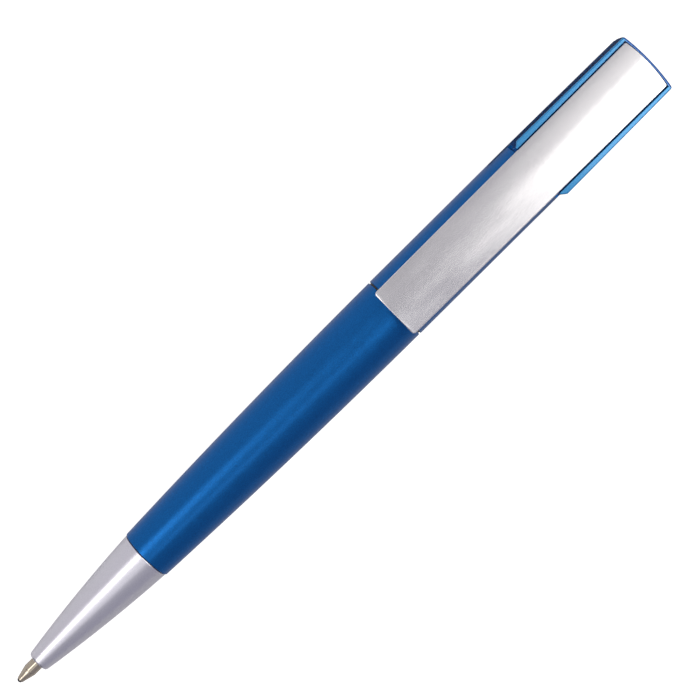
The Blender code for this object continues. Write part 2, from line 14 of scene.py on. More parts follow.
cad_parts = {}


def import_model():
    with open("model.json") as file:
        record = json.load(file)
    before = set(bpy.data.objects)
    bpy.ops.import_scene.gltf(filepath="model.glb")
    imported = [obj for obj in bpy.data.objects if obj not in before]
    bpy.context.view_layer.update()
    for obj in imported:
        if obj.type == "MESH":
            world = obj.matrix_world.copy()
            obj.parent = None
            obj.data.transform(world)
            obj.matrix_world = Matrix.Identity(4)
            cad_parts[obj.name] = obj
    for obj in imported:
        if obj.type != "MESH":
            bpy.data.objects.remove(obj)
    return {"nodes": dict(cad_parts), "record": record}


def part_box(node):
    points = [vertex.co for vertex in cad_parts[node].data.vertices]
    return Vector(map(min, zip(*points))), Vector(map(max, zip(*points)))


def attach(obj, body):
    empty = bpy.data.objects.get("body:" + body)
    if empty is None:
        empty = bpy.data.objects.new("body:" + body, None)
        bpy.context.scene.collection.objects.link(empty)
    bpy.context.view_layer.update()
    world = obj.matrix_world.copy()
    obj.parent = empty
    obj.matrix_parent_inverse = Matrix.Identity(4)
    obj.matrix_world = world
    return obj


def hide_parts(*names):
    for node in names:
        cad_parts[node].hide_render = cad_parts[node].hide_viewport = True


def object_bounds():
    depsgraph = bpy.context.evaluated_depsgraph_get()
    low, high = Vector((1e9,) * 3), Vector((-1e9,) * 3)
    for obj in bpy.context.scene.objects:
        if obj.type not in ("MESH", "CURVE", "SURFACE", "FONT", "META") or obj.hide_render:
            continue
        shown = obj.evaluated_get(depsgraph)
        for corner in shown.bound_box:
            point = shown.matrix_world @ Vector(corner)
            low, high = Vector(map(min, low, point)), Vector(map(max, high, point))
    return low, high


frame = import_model()
CAD_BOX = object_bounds()
NODES = frame["nodes"]

MM = 0.001
SEGMENTS = 160
ARC_STEPS = 5
MERGE_DISTANCE = 0.0001
SHARP_ANGLE = radians(35)

# The frame gives the pen's place and its main sizes
BARREL_LOW, BARREL_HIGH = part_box("upper_barrel")
UPPER_RADIUS = (BARREL_HIGH.y - BARREL_LOW.y) / 2 / MM
TIP_POINT = Vector((CAD_BOX[0].x, 0.0, BARREL_LOW.z + UPPER_RADIUS * MM))
LENGTH = (CAD_BOX[1].x - CAD_BOX[0].x) / MM


def station(node, end):
    """Where a CAD node starts (end 0) or stops (end 1) along the pen."""
    return (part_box(node)[end].x - TIP_POINT.x) / MM


def height(node, end):
    """How far above the axis a CAD node's underside (end 0) or top (end 1) is."""
    return (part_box(node)[end].z - TIP_POINT.z) / MM


# Nose and barrels, whose outer shape the CAD model shares
NOSE_FRONT, NOSE_BACK = station("nose_cone", 0) + 0.25, 29.5
NOSE_FRONT_RADIUS, NOSE_BACK_RADIUS, NOSE_BULGE, NOSE_LIP = 1.985, 4.51, 1.10, 0.6
LOWER_FRONT, LOWER_BACK = station("lower_barrel", 0), station("lower_barrel", 1)
LOWER_FRONT_RADIUS, LOWER_BACK_RADIUS, LOWER_BULGE = 4.65, 5.90, 1.13
UPPER_FRONT, UPPER_BACK = station("upper_barrel", 0), station("upper_barrel", 1)
UPPER_BACK_RADIUS, UPPER_EDGE = 5.77, 0.09

# Clip: half widths, heights above the axis, foot and bead
CLIP_FRONT, CLIP_BACK = station("clip", 0), station("clip", 1)
CLIP_FRONT_HALF, CLIP_BACK_HALF = 4.58, 4.84
CLIP_UNDERSIDE, CLIP_EDGE, CLIP_TOP = 6.95, 7.6, height("clip", 1)
CLIP_DROOP, CLIP_DROOP_LENGTH = 0.04, 4.0
CLIP_BOW_LENGTH, CLIP_END_GAP = 3.0, 0.18
HINGE_STATION, FOOT_HALF_LENGTH, FOOT_HALF_WIDTH, FOOT_BOTTOM = 140.75, 1.25, 3.0, 5.85
BEAD_STATION, BEAD_RADIUS, BEAD_HALF_LENGTH, BEAD_GAP = 88.6, 1.2, 2.2, 0.12

# Clip frame: saddle, end wall and plug
FRAME_FRONT = station("clip_frame", 0)
FRAME_FRONT_HALF, FRAME_BACK_HALF = 5.92, 5.66
FRAME_BOTTOM, FRAME_FLOOR, FRAME_TOP = 1.6, 6.5, 7.55
SLANT_WIDTH, SLANT_LENGTH, SLANT_EDGE, SADDLE_START = 0.62, 0.95, 0.1, 1.6
SEAT_RADIUS, PLUG_RADIUS, PLUG_FRONT = 5.5, 4.5, 138.0
END_WALL_FRONT, END_LAND, END_DOME, DOME_REACH = 143.35, 3.0, 24.0, 4.0
END_EDGE, WALL_THICKNESS, WALL_FLARE, RIM_FILLET = 0.34, 0.3, 0.1, 0.24
GAP, CHANNEL_GAP, SLOT_ROOM = 0.15, 0.21, 0.25
SKIRT_WIDTH, JOIN_LENGTH, JOIN_INSET = 0.08, 0.16, 0.02

# Small pieces
WASHER_BORE, WASHER_DEPTH, WASHER_GAP = 3.85, 0.3, 0.03
BALL_RADIUS, SOCKET_RADIUS = 0.5, 0.52


# --- Node helpers -------------------------------------------------------------------

def new_material(name, colour, metallic, roughness, coat=0.0, coat_roughness=0.1):
    """A Principled material and its node tree, with the plain values on the shader's sockets."""
    material = bpy.data.materials.new(name)
    material.use_nodes = True
    tree = material.node_tree
    shader = tree.nodes["Principled BSDF"]
    shader.inputs["Base Color"].default_value = (*colour, 1.0)
    shader.inputs["Metallic"].default_value = metallic
    shader.inputs["Roughness"].default_value = roughness
    shader.inputs["Coat Weight"].default_value = coat
    shader.inputs["Coat Roughness"].default_value = coat_roughness
    return material, tree, shader


def add(tree, kind, **values):
    """A node with some of its settings or input sockets filled in."""
    node = tree.nodes.new(kind)
    for name, value in values.items():
        if hasattr(node, name):
            setattr(node, name, value)
        else:
            node.inputs[name.replace("_", " ")].default_value = value
    return node


def noise(tree, size, detail=2.0, stretch=(1.0, 1.0, 1.0)):
    """Noise with features of a size in millimetres, stretched along the pen's own axes."""
    place = add(tree, "ShaderNodeTexCoord")
    scaled = add(tree, "ShaderNodeMapping")
    scaled.inputs["Scale"].default_value = [1.0 / s for s in stretch]
    texture = add(tree, "ShaderNodeTexNoise", Scale=1.0 / (size * MM), Detail=detail)
    tree.links.new(place.outputs["Object"], scaled.inputs["Vector"])
    tree.links.new(scaled.outputs["Vector"], texture.inputs["Vector"])
    return texture.outputs["Fac"]


def spread(tree, value, low, high, start=0.3, stop=0.7):
    """A 0 to 1 value mapped to another range."""
    node = add(tree, "ShaderNodeMapRange")
    node.inputs["From Min"].default_value = start
    node.inputs["From Max"].default_value = stop
    node.inputs["To Min"].default_value = low
    node.inputs["To Max"].default_value = high
    tree.links.new(value, node.inputs["Value"])
    return node.outputs["Result"]


def tint(tree, value, dark, light, start=0.3, stop=0.7):
    """A colour between two others."""
    ramp = add(tree, "ShaderNodeValToRGB")
    ramp.color_ramp.elements[0].position = start
    ramp.color_ramp.elements[0].color = (*dark, 1.0)
    ramp.color_ramp.elements[1].position = stop
    ramp.color_ramp.elements[1].color = (*light, 1.0)
    tree.links.new(value, ramp.inputs["Fac"])
    return ramp.outputs["Color"]


def bump(tree, shader, value, depth):
    """Relief of a depth in millimetres."""
    node = add(tree, "ShaderNodeBump", Strength=1.0, Distance=depth * MM)
    tree.links.new(value, node.inputs["Height"])
    tree.links.new(node.outputs["Normal"], shader.inputs["Normal"])


def coordinate(tree, axis):
    """One coordinate of a surface's points, in metres."""
    place = add(tree, "ShaderNodeTexCoord")
    split = add(tree, "ShaderNodeSeparateXYZ")
    tree.links.new(place.outputs["Object"], split.inputs["Vector"])
    return split.outputs[axis]


def shade(colour, factor):
    """A colour made lighter or darker."""
    return tuple(min(1.0, c * factor) for c in colour)


# --- Materials ----------------------------------------------------------------------

def lacquer():
    """Satin metallic blue lacquer: fine flake, a soft uneven sheen and a thin satin coat."""
    blue = (0.0044, 0.112, 0.36)
    material, tree, shader = new_material("satin_blue_lacquer", blue, 0.95, 0.31, 0.12, 0.25)
    flake = noise(tree, 0.16, 2.0)
    tree.links.new(tint(tree, flake, shade(blue, 0.82), shade(blue, 1.2)), shader.inputs["Base Color"])
    tree.links.new(spread(tree, noise(tree, 1.5, 3.0), 0.28, 0.35), shader.inputs["Roughness"])
    bump(tree, shader, flake, 0.003)
    return material


def silver(name, colour, roughness, grain):
    """Satin silver plating with a fine pearl grain."""
    material, tree, shader = new_material(name, colour, 1.0, roughness)
    fine = noise(tree, grain, 3.0)
    tree.links.new(tint(tree, fine, shade(colour, 0.95), shade(colour, 1.05)), shader.inputs["Base Color"])
    wear = noise(tree, 2.5, 4.0, (4.0, 1.0, 1.0))
    tree.links.new(spread(tree, wear, roughness - 0.03, roughness + 0.04), shader.inputs["Roughness"])
    bump(tree, shader, fine, 0.003)
    return material


def level(tree, low, high):
    """0 to 1 between two heights above the pen's axis, in millimetres."""
    axis = TIP_POINT.z
    return spread(tree, coordinate(tree, "Z"), 0.0, 1.0, axis + low * MM, axis + high * MM)


def before(tree, start, stop):
    """1 in front of a station and 0 behind another, in millimetres."""
    front = TIP_POINT.x
    return spread(tree, coordinate(tree, "X"), 1.0, 0.0, front + start * MM, front + stop * MM)


def polished_blue():
    """Polished blue plastic with painted light and shade: a lighter blue on the rims' tops, a darker painted
    shade on the lower sides and the end wall.
    """
    lit_top_blue, painted_shade_blue = (0.022, 0.225, 0.48), (0.004, 0.085, 0.33)
    material, tree, shader = new_material("polished_blue_frame", lit_top_blue, 0.25, 0.1, 0.2, 0.03)
    # Painted light and shade: the rims' tops above 7.48 mm get the lighter blue; the sides below 7.2 mm and
    # the end wall get the darker painted shade.
    painted_light_mask = add(tree, "ShaderNodeMath", operation="MULTIPLY")
    tree.links.new(level(tree, 7.2, 7.48), painted_light_mask.inputs[0])
    tree.links.new(before(tree, LENGTH - 1.2, LENGTH - 1.0), painted_light_mask.inputs[1])
    tree.links.new(tint(tree, painted_light_mask.outputs["Value"], painted_shade_blue, lit_top_blue, 0.0, 1.0), shader.inputs["Base Color"])
    tree.links.new(spread(tree, noise(tree, 0.8, 2.0), 0.10, 0.12), shader.inputs["Roughness"])
    return material


def turned_metal(name, colour, roughness, pitch=0.06):
    """Metal cut on a lathe: fine rings round the pen's axis."""
    material, tree, shader = new_material(name, colour, 1.0, roughness)
    rings = noise(tree, pitch, 1.0, (1.0, 200.0, 200.0))
    tree.links.new(tint(tree, rings, shade(colour, 0.92), shade(colour, 1.08)), shader.inputs["Base Color"])
    tree.links.new(spread(tree, rings, roughness - 0.03, roughness + 0.04), shader.inputs["Roughness"])
    bump(tree, shader, rings, 0.0006)
    return material


def moulded(name, colour, roughness, size=0.5):
    """Moulded plastic or rubber with a slightly uneven skin."""
    material, tree, shader = new_material(name, colour, 0.0, roughness)
    skin = noise(tree, size, 4.0)
    tree.links.new(tint(tree, skin, shade(colour, 0.85), shade(colour, 1.15)), shader.inputs["Base Color"])
    tree.links.new(spread(tree, skin, roughness - 0.05, roughness + 0.05), shader.inputs["Roughness"])
    bump(tree, shader, noise(tree, size / 4, 2.0), 0.004)
    return material


MATERIALS = {
    "barrel_lacquer": lacquer(),
    "nose_metal": silver("satin_silver_nose", (0.70, 0.69, 0.74), 0.30, 0.18),
    "clip_metal": silver("satin_silver_clip", (0.74, 0.73, 0.74), 0.2, 0.2),
    "frame_plastic": polished_blue(),
    "nickel_silver": turned_metal("nickel_silver", (0.50, 0.44, 0.35), 0.14),
    "carbide": turned_metal("ground_carbide", (0.05, 0.05, 0.055), 0.18, 0.03),
    "brass": turned_metal("turned_brass", (0.70, 0.50, 0.20), 0.28),
    "steel": turned_metal("drawn_steel", (0.50, 0.50, 0.52), 0.25),
    "white_plastic": moulded("white_acetal", (0.72, 0.72, 0.70), 0.42),
    "black_plastic": moulded("black_acetal", (0.012, 0.012, 0.013), 0.42),
    "ring_rubber": moulded("black_rubber", (0.010, 0.010, 0.010), 0.75, 0.2),
    "ink": moulded("blue_ink_paste", (0.006, 0.008, 0.10), 0.15, 1.5),
}


# --- Shape helpers ------------------------------------------------------------------

def rounded(corners, closed=True):
    """Turn corners of (a, b, fillet) into points, with an arc at each corner that has a fillet.

    A point just before and after each arc keeps the long faces beside it evenly lit.
    """
    points = []
    total = len(corners)
    for i, (a, b, fillet) in enumerate(corners):
        corner = Vector((a, b))
        inside = closed or 0 < i < total - 1
        if not inside or fillet <= 0:
            points.append(corner)
            continue
        back = Vector(corners[i - 1][:2]) - corner
        ahead = Vector(corners[(i + 1) % total][:2]) - corner
        half = acos(max(-1.0, min(1.0, back.normalized().dot(ahead.normalized())))) / 2
        reach = min(fillet / tan(half), 0.44 * min(back.length, ahead.length))
        radius = reach * tan(half)
        centre = corner + (back.normalized() + ahead.normalized()).normalized() * (radius / sin(half))
        start = corner + back.normalized() * reach - centre
        side = 1 if back.x * ahead.y - back.y * ahead.x < 0 else -1
        points.append(corner + back.normalized() * reach * 1.12)
        for k in range(ARC_STEPS + 1):
            turn = side * (pi - 2 * half) * k / ARC_STEPS
            points.append(centre + Vector((start.x * cos(turn) - start.y * sin(turn),
                                           start.x * sin(turn) + start.y * cos(turn))))
        points.append(corner + ahead.normalized() * reach * 1.12)
    return points


def add_ring(bm, points):
    """Vertices for one ring, from points in pen coordinates."""
    return [bm.verts.new(TIP_POINT + Vector(p) * MM) for p in points]


def bridge(bm, near, far):
    """Faces between two rings; a ring of one vertex is a pole."""
    count = max(len(near), len(far))
    for i in range(count):
        j = (i + 1) % count
        if len(near) == 1:
            bm.faces.new((near[0], far[j], far[i]))
        elif len(far) == 1:
            bm.faces.new((near[i], near[j], far[0]))
        else:
            bm.faces.new((near[i], near[j], far[j], far[i]))


def to_object(name, bm):
    """A smooth-shaded object from a bmesh, with points that fall together merged."""
    bmesh.ops.remove_doubles(bm, verts=bm.verts[:], dist=MERGE_DISTANCE * MM)
    bmesh.ops.recalc_face_normals(bm, faces=bm.faces[:])
    mesh = bpy.data.meshes.new(name)
    bm.to_mesh(mesh)
    bm.free()
    mesh.shade_smooth()
    mesh.set_sharp_from_angle(angle=SHARP_ANGLE)
    ob = bpy.data.objects.new(name, mesh)
    bpy.context.scene.collection.objects.link(ob)
    return ob


def loft(name, sections, loop=False):
    """A surface through rings of points; a loop joins the last ring to the first."""
    bm = bmesh.new()
    rings = [add_ring(bm, points) for points in sections]
    for near, far in zip(rings, rings[1:]):
        bridge(bm, near, far)
    if loop:
        bridge(bm, rings[-1], rings[0])
    else:
        for end in (rings[0], rings[-1]):
            if len(end) > 1:
                bm.faces.new(end)
    return to_object(name, bm)


def circle(radius, at, count):
    """A ring round the pen's axis; no radius gives the one point on the axis."""
    if radius <= 0:
        return [(at, 0.0, 0.0)]
    return [(at, radius * cos(tau * i / count), radius * sin(tau * i / count)) for i in range(count)]


def turned(name, corners, count=SEGMENTS):
    """A turned piece from corners of (radius, station, fillet).

    Corners that start and end on the axis make a solid piece, others a tube.
    """
    solid = corners[0][0] <= 0
    outline = rounded(corners, closed=not solid)
    return loft(name, [circle(r, x, count) for r, x in outline], loop=not solid)


def bulged(front, back, front_radius, back_radius, bulge, count):
    """Points of a gently convex taper, from its front to its back, as (radius, station, fillet)."""
    points = []
    for i in range(count + 1):
        u = i / count
        radius = front_radius + (back_radius - front_radius) * u + bulge * u * (1.0 - u)
        points.append((radius, front + (back - front) * u, 0.0))
    return points


def boolean(ob, tool, operation):
    """Join or cut an object with another, which is used up."""
    modifier = ob.modifiers.new("boolean", "BOOLEAN")
    modifier.operation = operation
    modifier.solver = "EXACT"
    modifier.object = tool
    graph = bpy.context.evaluated_depsgraph_get()
    mesh = bpy.data.meshes.new_from_object(ob.evaluated_get(graph))
    ob.modifiers.clear()
    ob.data = mesh
    bpy.data.objects.remove(tool, do_unlink=True)
    return ob


def block(name, low, high, fillet):
    """A box with softly rounded edges."""
    bm = bmesh.new()
    low, high = Vector(low) * MM, Vector(high) * MM
    size = Matrix.Diagonal((*(high - low), 1.0))
    bmesh.ops.create_cube(bm, size=1.0, matrix=Matrix.Translation(TIP_POINT + (low + high) / 2) @ size)
    bmesh.ops.bevel(bm, geom=bm.edges[:], offset=fillet * MM, segments=3, affect="EDGES", profile=0.5)
    return to_object(name, bm)


def dress(ob, body, slot, node):
    """Give a piece its material and slot, let it ride on its body, and let it stand for a CAD node."""
    ob.data.materials.clear()
    ob.data.materials.append(MATERIALS[slot])
    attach(ob, body)
    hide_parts(node)


# --- Nose and barrels ---------------------------------------------------------------

def make_nose():
    """Silver nose cone: rounded mouth, gently convex cone, softened rim and screw shank."""
    lip = NOSE_FRONT + NOSE_LIP
    mouth, shank, shank_back = 1.26, 3.7, 36.4
    guide, spring_room, refill_room = 1.7, 2.35, 3.1
    corners = [(mouth, NOSE_FRONT, 0.04), (1.78, NOSE_FRONT, 0.18), (1.92, NOSE_FRONT + 0.3, 0.2)]
    corners += bulged(lip, NOSE_BACK, NOSE_FRONT_RADIUS, NOSE_BACK_RADIUS, NOSE_BULGE, 28)
    corners.pop()
    corners += [(NOSE_BACK_RADIUS, NOSE_BACK, 0.16), (shank, NOSE_BACK, 0.05), (shank, shank_back - 0.2, 0.1)]
    corners += [(shank - 0.15, shank_back, 0.05), (refill_room, shank_back, 0.05)]
    corners += [(refill_room, 22.2, 0.3), (spring_room, 20.5, 0.3), (spring_room, 12.2, 0.1)]
    corners += [(guide, 12.2, 0.1), (guide, 10.2, 0.2), (mouth, 9.5, 0.2)]
    dress(turned("nose_shell", corners), "lower_body", "nose_metal", "nose_cone")


def make_lower_barrel():
    """Blue grip barrel with softened ends, and a bore that tapers to the nose's shank."""
    bore, shank_bore = 4.9, 3.8
    corners = bulged(LOWER_FRONT, LOWER_BACK, LOWER_FRONT_RADIUS, LOWER_BACK_RADIUS, LOWER_BULGE, 36)
    corners[0] = (LOWER_FRONT_RADIUS, LOWER_FRONT, 0.12)
    corners[-1] = (LOWER_BACK_RADIUS, LOWER_BACK, 0.08)
    corners += [(bore, LOWER_BACK, 0.06), (bore, 76.0, 0.3), (4.55, 62.0, 1.0), (4.05, 42.0, 1.0)]
    corners += [(shank_bore, 37.0, 0.3), (shank_bore, LOWER_FRONT, 0.06)]
    dress(turned("lower_barrel_shell", corners), "lower_body", "barrel_lacquer", "lower_barrel")


def barrel_angles():
    """Angles round the upper barrel, with the seat's two steps at fixed places."""
    seat = FRAME_BOTTOM - GAP
    outer, inner = asin(seat / UPPER_RADIUS), asin(seat / (SEAT_RADIUS - GAP))
    low_count, high_count = 96, 64
    low = [outer - (pi + 2 * outer) * i / low_count for i in range(low_count + 1)]
    high = [pi - inner - (pi - 2 * inner) * i / high_count for i in range(high_count + 1)]
    return low, high


def barrel_ring(at, radius, seat_radius=None):
    """A ring of the upper barrel; the part above the frame's seat may have its own radius."""
    low, high = barrel_angles()
    upper = seat_radius or radius
    points = [(at, radius * cos(a), radius * sin(a)) for a in low]
    return points + [(at, upper * cos(a), upper * sin(a)) for a in high]


def make_upper_barrel():
    """Blue upper barrel, let down at its back to take the clip frame."""
    step = FRAME_FRONT - GAP
    inner = SEAT_RADIUS - GAP
    taper = (UPPER_BACK_RADIUS - UPPER_RADIUS) / (UPPER_BACK - step)
    edge, bore, front_bore = UPPER_EDGE, 4.6, 4.9
    rings = []
    for i in range(7):
        turn = pi / 2 * (1 - i / 6)
        rings.append(barrel_ring(UPPER_FRONT + edge * (1 - sin(turn)), UPPER_RADIUS - edge * (1 - cos(turn))))
    rings += [barrel_ring(UPPER_FRONT + 0.4, UPPER_RADIUS), barrel_ring(step - 0.05, UPPER_RADIUS)]
    rings += [barrel_ring(step, UPPER_RADIUS), barrel_ring(step, UPPER_RADIUS, inner)]
    for i in range(1, 7):
        at = step + (UPPER_BACK - edge - step) * i / 6
        rings.append(barrel_ring(at, UPPER_RADIUS + taper * (at - step), inner))
    for i in range(1, 7):
        turn = pi / 2 * i / 6
        drop = edge * (1 - cos(turn))
        rings.append(barrel_ring(UPPER_BACK - edge * (1 - sin(turn)), UPPER_BACK_RADIUS - drop, inner - drop))
    inside = [(bore, UPPER_BACK), (bore, 114.9), (front_bore, 114.6), (front_bore, UPPER_FRONT)]
    rings += [barrel_ring(at, radius) for radius, at in inside]
    dress(loft("upper_barrel_shell", rings, loop=True), "upper_body", "barrel_lacquer", "upper_barrel")


# --- Clip frame ---------------------------------------------------------------------

def along(front, back, at, low, high):
    """A value that changes evenly from one station to another."""
    return low + (high - low) * (at - front) / (back - front)


def frame_half(at):
    """Half the frame's width; FRAME_BACK_HALF is what it comes to 1 mm past the pen's end."""
    return along(FRAME_FRONT, LENGTH + 1, at, FRAME_FRONT_HALF, FRAME_BACK_HALF)


def clip_half(at):
    """Half the clip's width."""
    return along(CLIP_FRONT, CLIP_BACK, at, CLIP_FRONT_HALF, CLIP_BACK_HALF)


def frame_section(at, half, inset=0.0):
    """A section through the frame's saddle: two rims, the channel's floor and the barrel's seat.

    Where the section is narrow, its skirts end higher up, so that they stay outside the seat.
    """
    channel = clip_half(at) + CHANNEL_GAP + inset
    floor, seat = FRAME_FLOOR - inset, SEAT_RADIUS + inset
    least = sqrt(max(0.0, seat ** 2 - (half - SKIRT_WIDTH) ** 2))
    top, bottom = FRAME_TOP - inset, max(FRAME_BOTTOM + inset, least)
    inner = sqrt(seat * seat - bottom * bottom)
    corners = [(0.0, floor, 0.0), (channel, floor, 0.15), (channel, top, 0.08), (half, top, RIM_FILLET)]
    corners += [(half, bottom + (top - bottom) * part, 0.0) for part in (0.8, 0.6, 0.4, 0.2)]
    corners += [(half, bottom, 0.08), (inner, bottom, 0.04)]
    side = rounded(corners, closed=False)
    start = asin(bottom / seat)
    for i in range(1, 21):
        angle = start + (pi / 2 - start) * i / 20
        side.append(Vector((seat * cos(angle), seat * sin(angle))))
    mirrored = [Vector((-p.x, p.y)) for p in reversed(side[1:-1])]
    return [(at, p.x, p.y) for p in side + mirrored]


def edge_inset(depth, radius):
    """How far a rounded edge lies in from the full section, at a depth behind its face."""
    if depth >= radius:
        return 0.0
    return radius - sqrt(max(0.0, radius ** 2 - (radius - depth) ** 2))


def make_saddle():
    """The long part of the frame: its front end is slanted and softened, its back end follows the dome.

    The last section lies just under the end wall's surface, so that the two join cleanly.
    """
    sections = []
    for depth in (0.0, 0.03, 0.07, SLANT_EDGE, 0.2, 0.33, 0.48, 0.63, 0.8, SLANT_LENGTH, 1.15, SADDLE_START):
        at = FRAME_FRONT + depth
        inset = edge_inset(depth, SLANT_EDGE)
        narrow = SLANT_WIDTH * (1 + cos(pi * min(1.0, depth / SLANT_LENGTH))) / 2
        sections.append(frame_section(at, frame_half(at) - narrow - inset, inset))
    start, stop = FRAME_FRONT + SADDLE_START, LENGTH - END_EDGE - 0.02
    for i in range(1, 25):
        at = start + (stop - JOIN_LENGTH - start) * i / 24
        sections.append([curved(point) for point in frame_section(at, frame_half(at))])
    last = frame_section(stop, frame_half(stop) - JOIN_INSET, JOIN_INSET)
    sections.append([curved(point) for point in last])
    return loft("clip_frame_shell", sections)


def dome(y, z):
    """The station of the pen's end, a flat land inside a shallow dome."""
    reach = max(0.0, hypot(y, z) - END_LAND)
    return LENGTH - (END_DOME - sqrt(END_DOME ** 2 - reach ** 2))


def curved(point):
    """A point near the pen's end, drawn forward as far as the dome is there."""
    at, y, z = point
    weight = max(0.0, 1.0 - (LENGTH - at) / DOME_REACH)
    return at - weight * (LENGTH - dome(y, z)), y, z


def end_outline(shrink):
    """The top end's outline, straight-sided above the axis and round below, as (side, height)."""
    half = frame_half(END_WALL_FRONT) * shrink
    middle = 1.0
    top = middle + (FRAME_TOP - middle) * shrink
    base = middle * (1 - shrink)
    side = [Vector((half * 0.93 * i / 12, top)) for i in range(12)]
    corners = [(half * 0.9, top, 0.0), (half, top, RIM_FILLET * shrink)]
    corners += [(half, base + (top - base) * part, 0.0) for part in (0.8, 0.6, 0.4, 0.2, 0.0)]
    side += rounded(corners, closed=False)[1:]
    for i in range(1, 25):
        angle = pi / 2 * i / 24
        side.append(Vector((half * cos(angle), base - half * sin(angle))))
    return side + [Vector((-p.x, p.y)) for p in reversed(side[1:-1])]


def end_ring(shrink, back):
    """A ring some way in front of the dome."""
    return [(dome(p.x, p.y) - back, p.x, p.y) for p in end_outline(shrink)]


def wall_ring(shrink):
    """A ring of the end wall's front face, which clears the barrel's end and the clip's."""
    ring = []
    for p in end_outline(shrink):
        thickness = WALL_THICKNESS + WALL_FLARE * abs(p.x) / frame_half(END_WALL_FRONT)
        ring.append((min(END_WALL_FRONT, dome(p.x, p.y) - thickness), p.x, p.y))
    return ring


def make_clip_frame():
    """Polished blue frame: saddle, end wall with a shallow dome, and the plug in the barrel."""
    half = frame_half(END_WALL_FRONT)
    shrinks = (0.1, 0.25, 0.4, 0.5, 0.6, 0.7, 0.8, 0.9)
    rings = [wall_ring(shrink) for shrink in shrinks + (1.0,)]
    for i in range(7):
        turn = pi / 2 * i / 6
        rings.append(end_ring(1.0 - END_EDGE / half * (1 - cos(turn)), END_EDGE * (1 - sin(turn))))
    rings += [end_ring(shrink, 0.0) for shrink in reversed(shrinks)]
    wall = loft("end_wall", rings)
    plug_back = LENGTH - 0.2
    plug = turned("plug", [(0.0, plug_back, 0.0), (PLUG_RADIUS, plug_back, 0.0),
                           (PLUG_RADIUS, PLUG_FRONT, 0.3), (0.0, PLUG_FRONT, 0.0)])
    frame_ob = boolean(make_saddle(), wall, "UNION")
    boolean(frame_ob, plug, "UNION")
    reach, side = FOOT_HALF_LENGTH + SLOT_ROOM, FOOT_HALF_WIDTH + SLOT_ROOM
    slot = block("slot", (HINGE_STATION - reach, -side, FOOT_BOTTOM - GAP),
                 (HINGE_STATION + reach, side, FRAME_FLOOR + 0.6), 0.2)
    boolean(frame_ob, slot, "DIFFERENCE")
    frame_ob.data.set_sharp_from_angle(angle=SHARP_ANGLE)
    dress(frame_ob, "upper_body", "frame_plastic", "clip_frame")


# --- Clip ---------------------------------------------------------------------------

def clip_section(at, half, inset):
    """A section through the clip: a crowned top, soft edges and a flat underside."""
    crown = CLIP_TOP - CLIP_EDGE
    top, bottom = CLIP_EDGE - inset, CLIP_UNDERSIDE + inset
    fillet, under = 0.18, 0.08
    flat = half - fillet
    points = []
    for i in range(17):
        y = -flat + 2 * flat * i / 16
        points.append((y, top + crown * (1 - (y / half) ** 2)))
    rise = crown * (1 - (flat / half) ** 2)
    for i in range(1, 7):
        turn = pi / 2 * i / 6
        points.append((flat + fillet * sin(turn), top + rise - (fillet + rise * 0.5) * (1 - cos(turn))))
    for i in range(7):
        turn = pi / 2 * i / 6
        points.append((half - under * (1 - cos(turn)), bottom + under * (1 - sin(turn))))
    points += [(flat * (1 - i / 4), bottom) for i in range(9)]
    for i in range(7):
        turn = pi / 2 * (1 - i / 6)
        points.append((-half + under * (1 - cos(turn)), bottom + under * (1 - sin(turn))))
    for i in range(5, -1, -1):
        turn = pi / 2 * (i + 1) / 6
        points.append((-flat - fillet * sin(turn), top + rise - (fillet + rise * 0.5) * (1 - cos(turn))))
    return [(at, y, z) for y, z in points]


def clip_end(near, direction, corner):
    """Sections round one end of the clip: rounded in plan at its corners and along its edges."""
    sections = []
    edge = 0.14
    for i in range(13):
        depth = corner * (1 - cos(pi / 2 * i / 12))
        at = near + direction * depth
        cut = edge_inset(depth, corner)
        sections.append(clip_section(at, clip_half(at) - cut, edge_inset(depth, edge)))
    return sections


def drawn(point):
    """A point of the clip: its top droops a little at the free end, and its back end follows the dome."""
    at, y, z = point
    droop = CLIP_DROOP * max(0.0, 1 - (at - CLIP_FRONT) / CLIP_DROOP_LENGTH) ** 2
    weight = max(0.0, 1 - (CLIP_BACK - at) / CLIP_BOW_LENGTH)
    bow = CLIP_BACK - (dome(y, FRAME_TOP) - WALL_THICKNESS - CLIP_END_GAP)
    return at - weight * bow, y, z - (droop if z > CLIP_EDGE - 0.3 else 0.0)


def make_clip():
    """Silver spring clip with its foot and gripping bead."""
    front = clip_end(CLIP_FRONT, 1, 0.6)
    back = clip_end(CLIP_BACK, -1, 0.35)
    start, stop = front[-1][0][0], back[-1][0][0]
    middle = []
    for i in range(1, 24):
        at = start + (stop - start) * i / 24
        middle.append(clip_section(at, clip_half(at), 0.0))
    sections = [[drawn(point) for point in section] for section in front + middle + back[::-1]]
    clip = loft("clip_plate_shell", sections)
    foot = block("foot", (HINGE_STATION - FOOT_HALF_LENGTH, -FOOT_HALF_WIDTH, FOOT_BOTTOM),
                 (HINGE_STATION + FOOT_HALF_LENGTH, FOOT_HALF_WIDTH, CLIP_UNDERSIDE + 0.3), 0.15)
    boolean(clip, foot, "UNION")
    boolean(clip, make_bead(), "UNION")
    clip.data.set_sharp_from_angle(angle=SHARP_ANGLE)
    dress(clip, "clip_plate", "clip_metal", "clip")


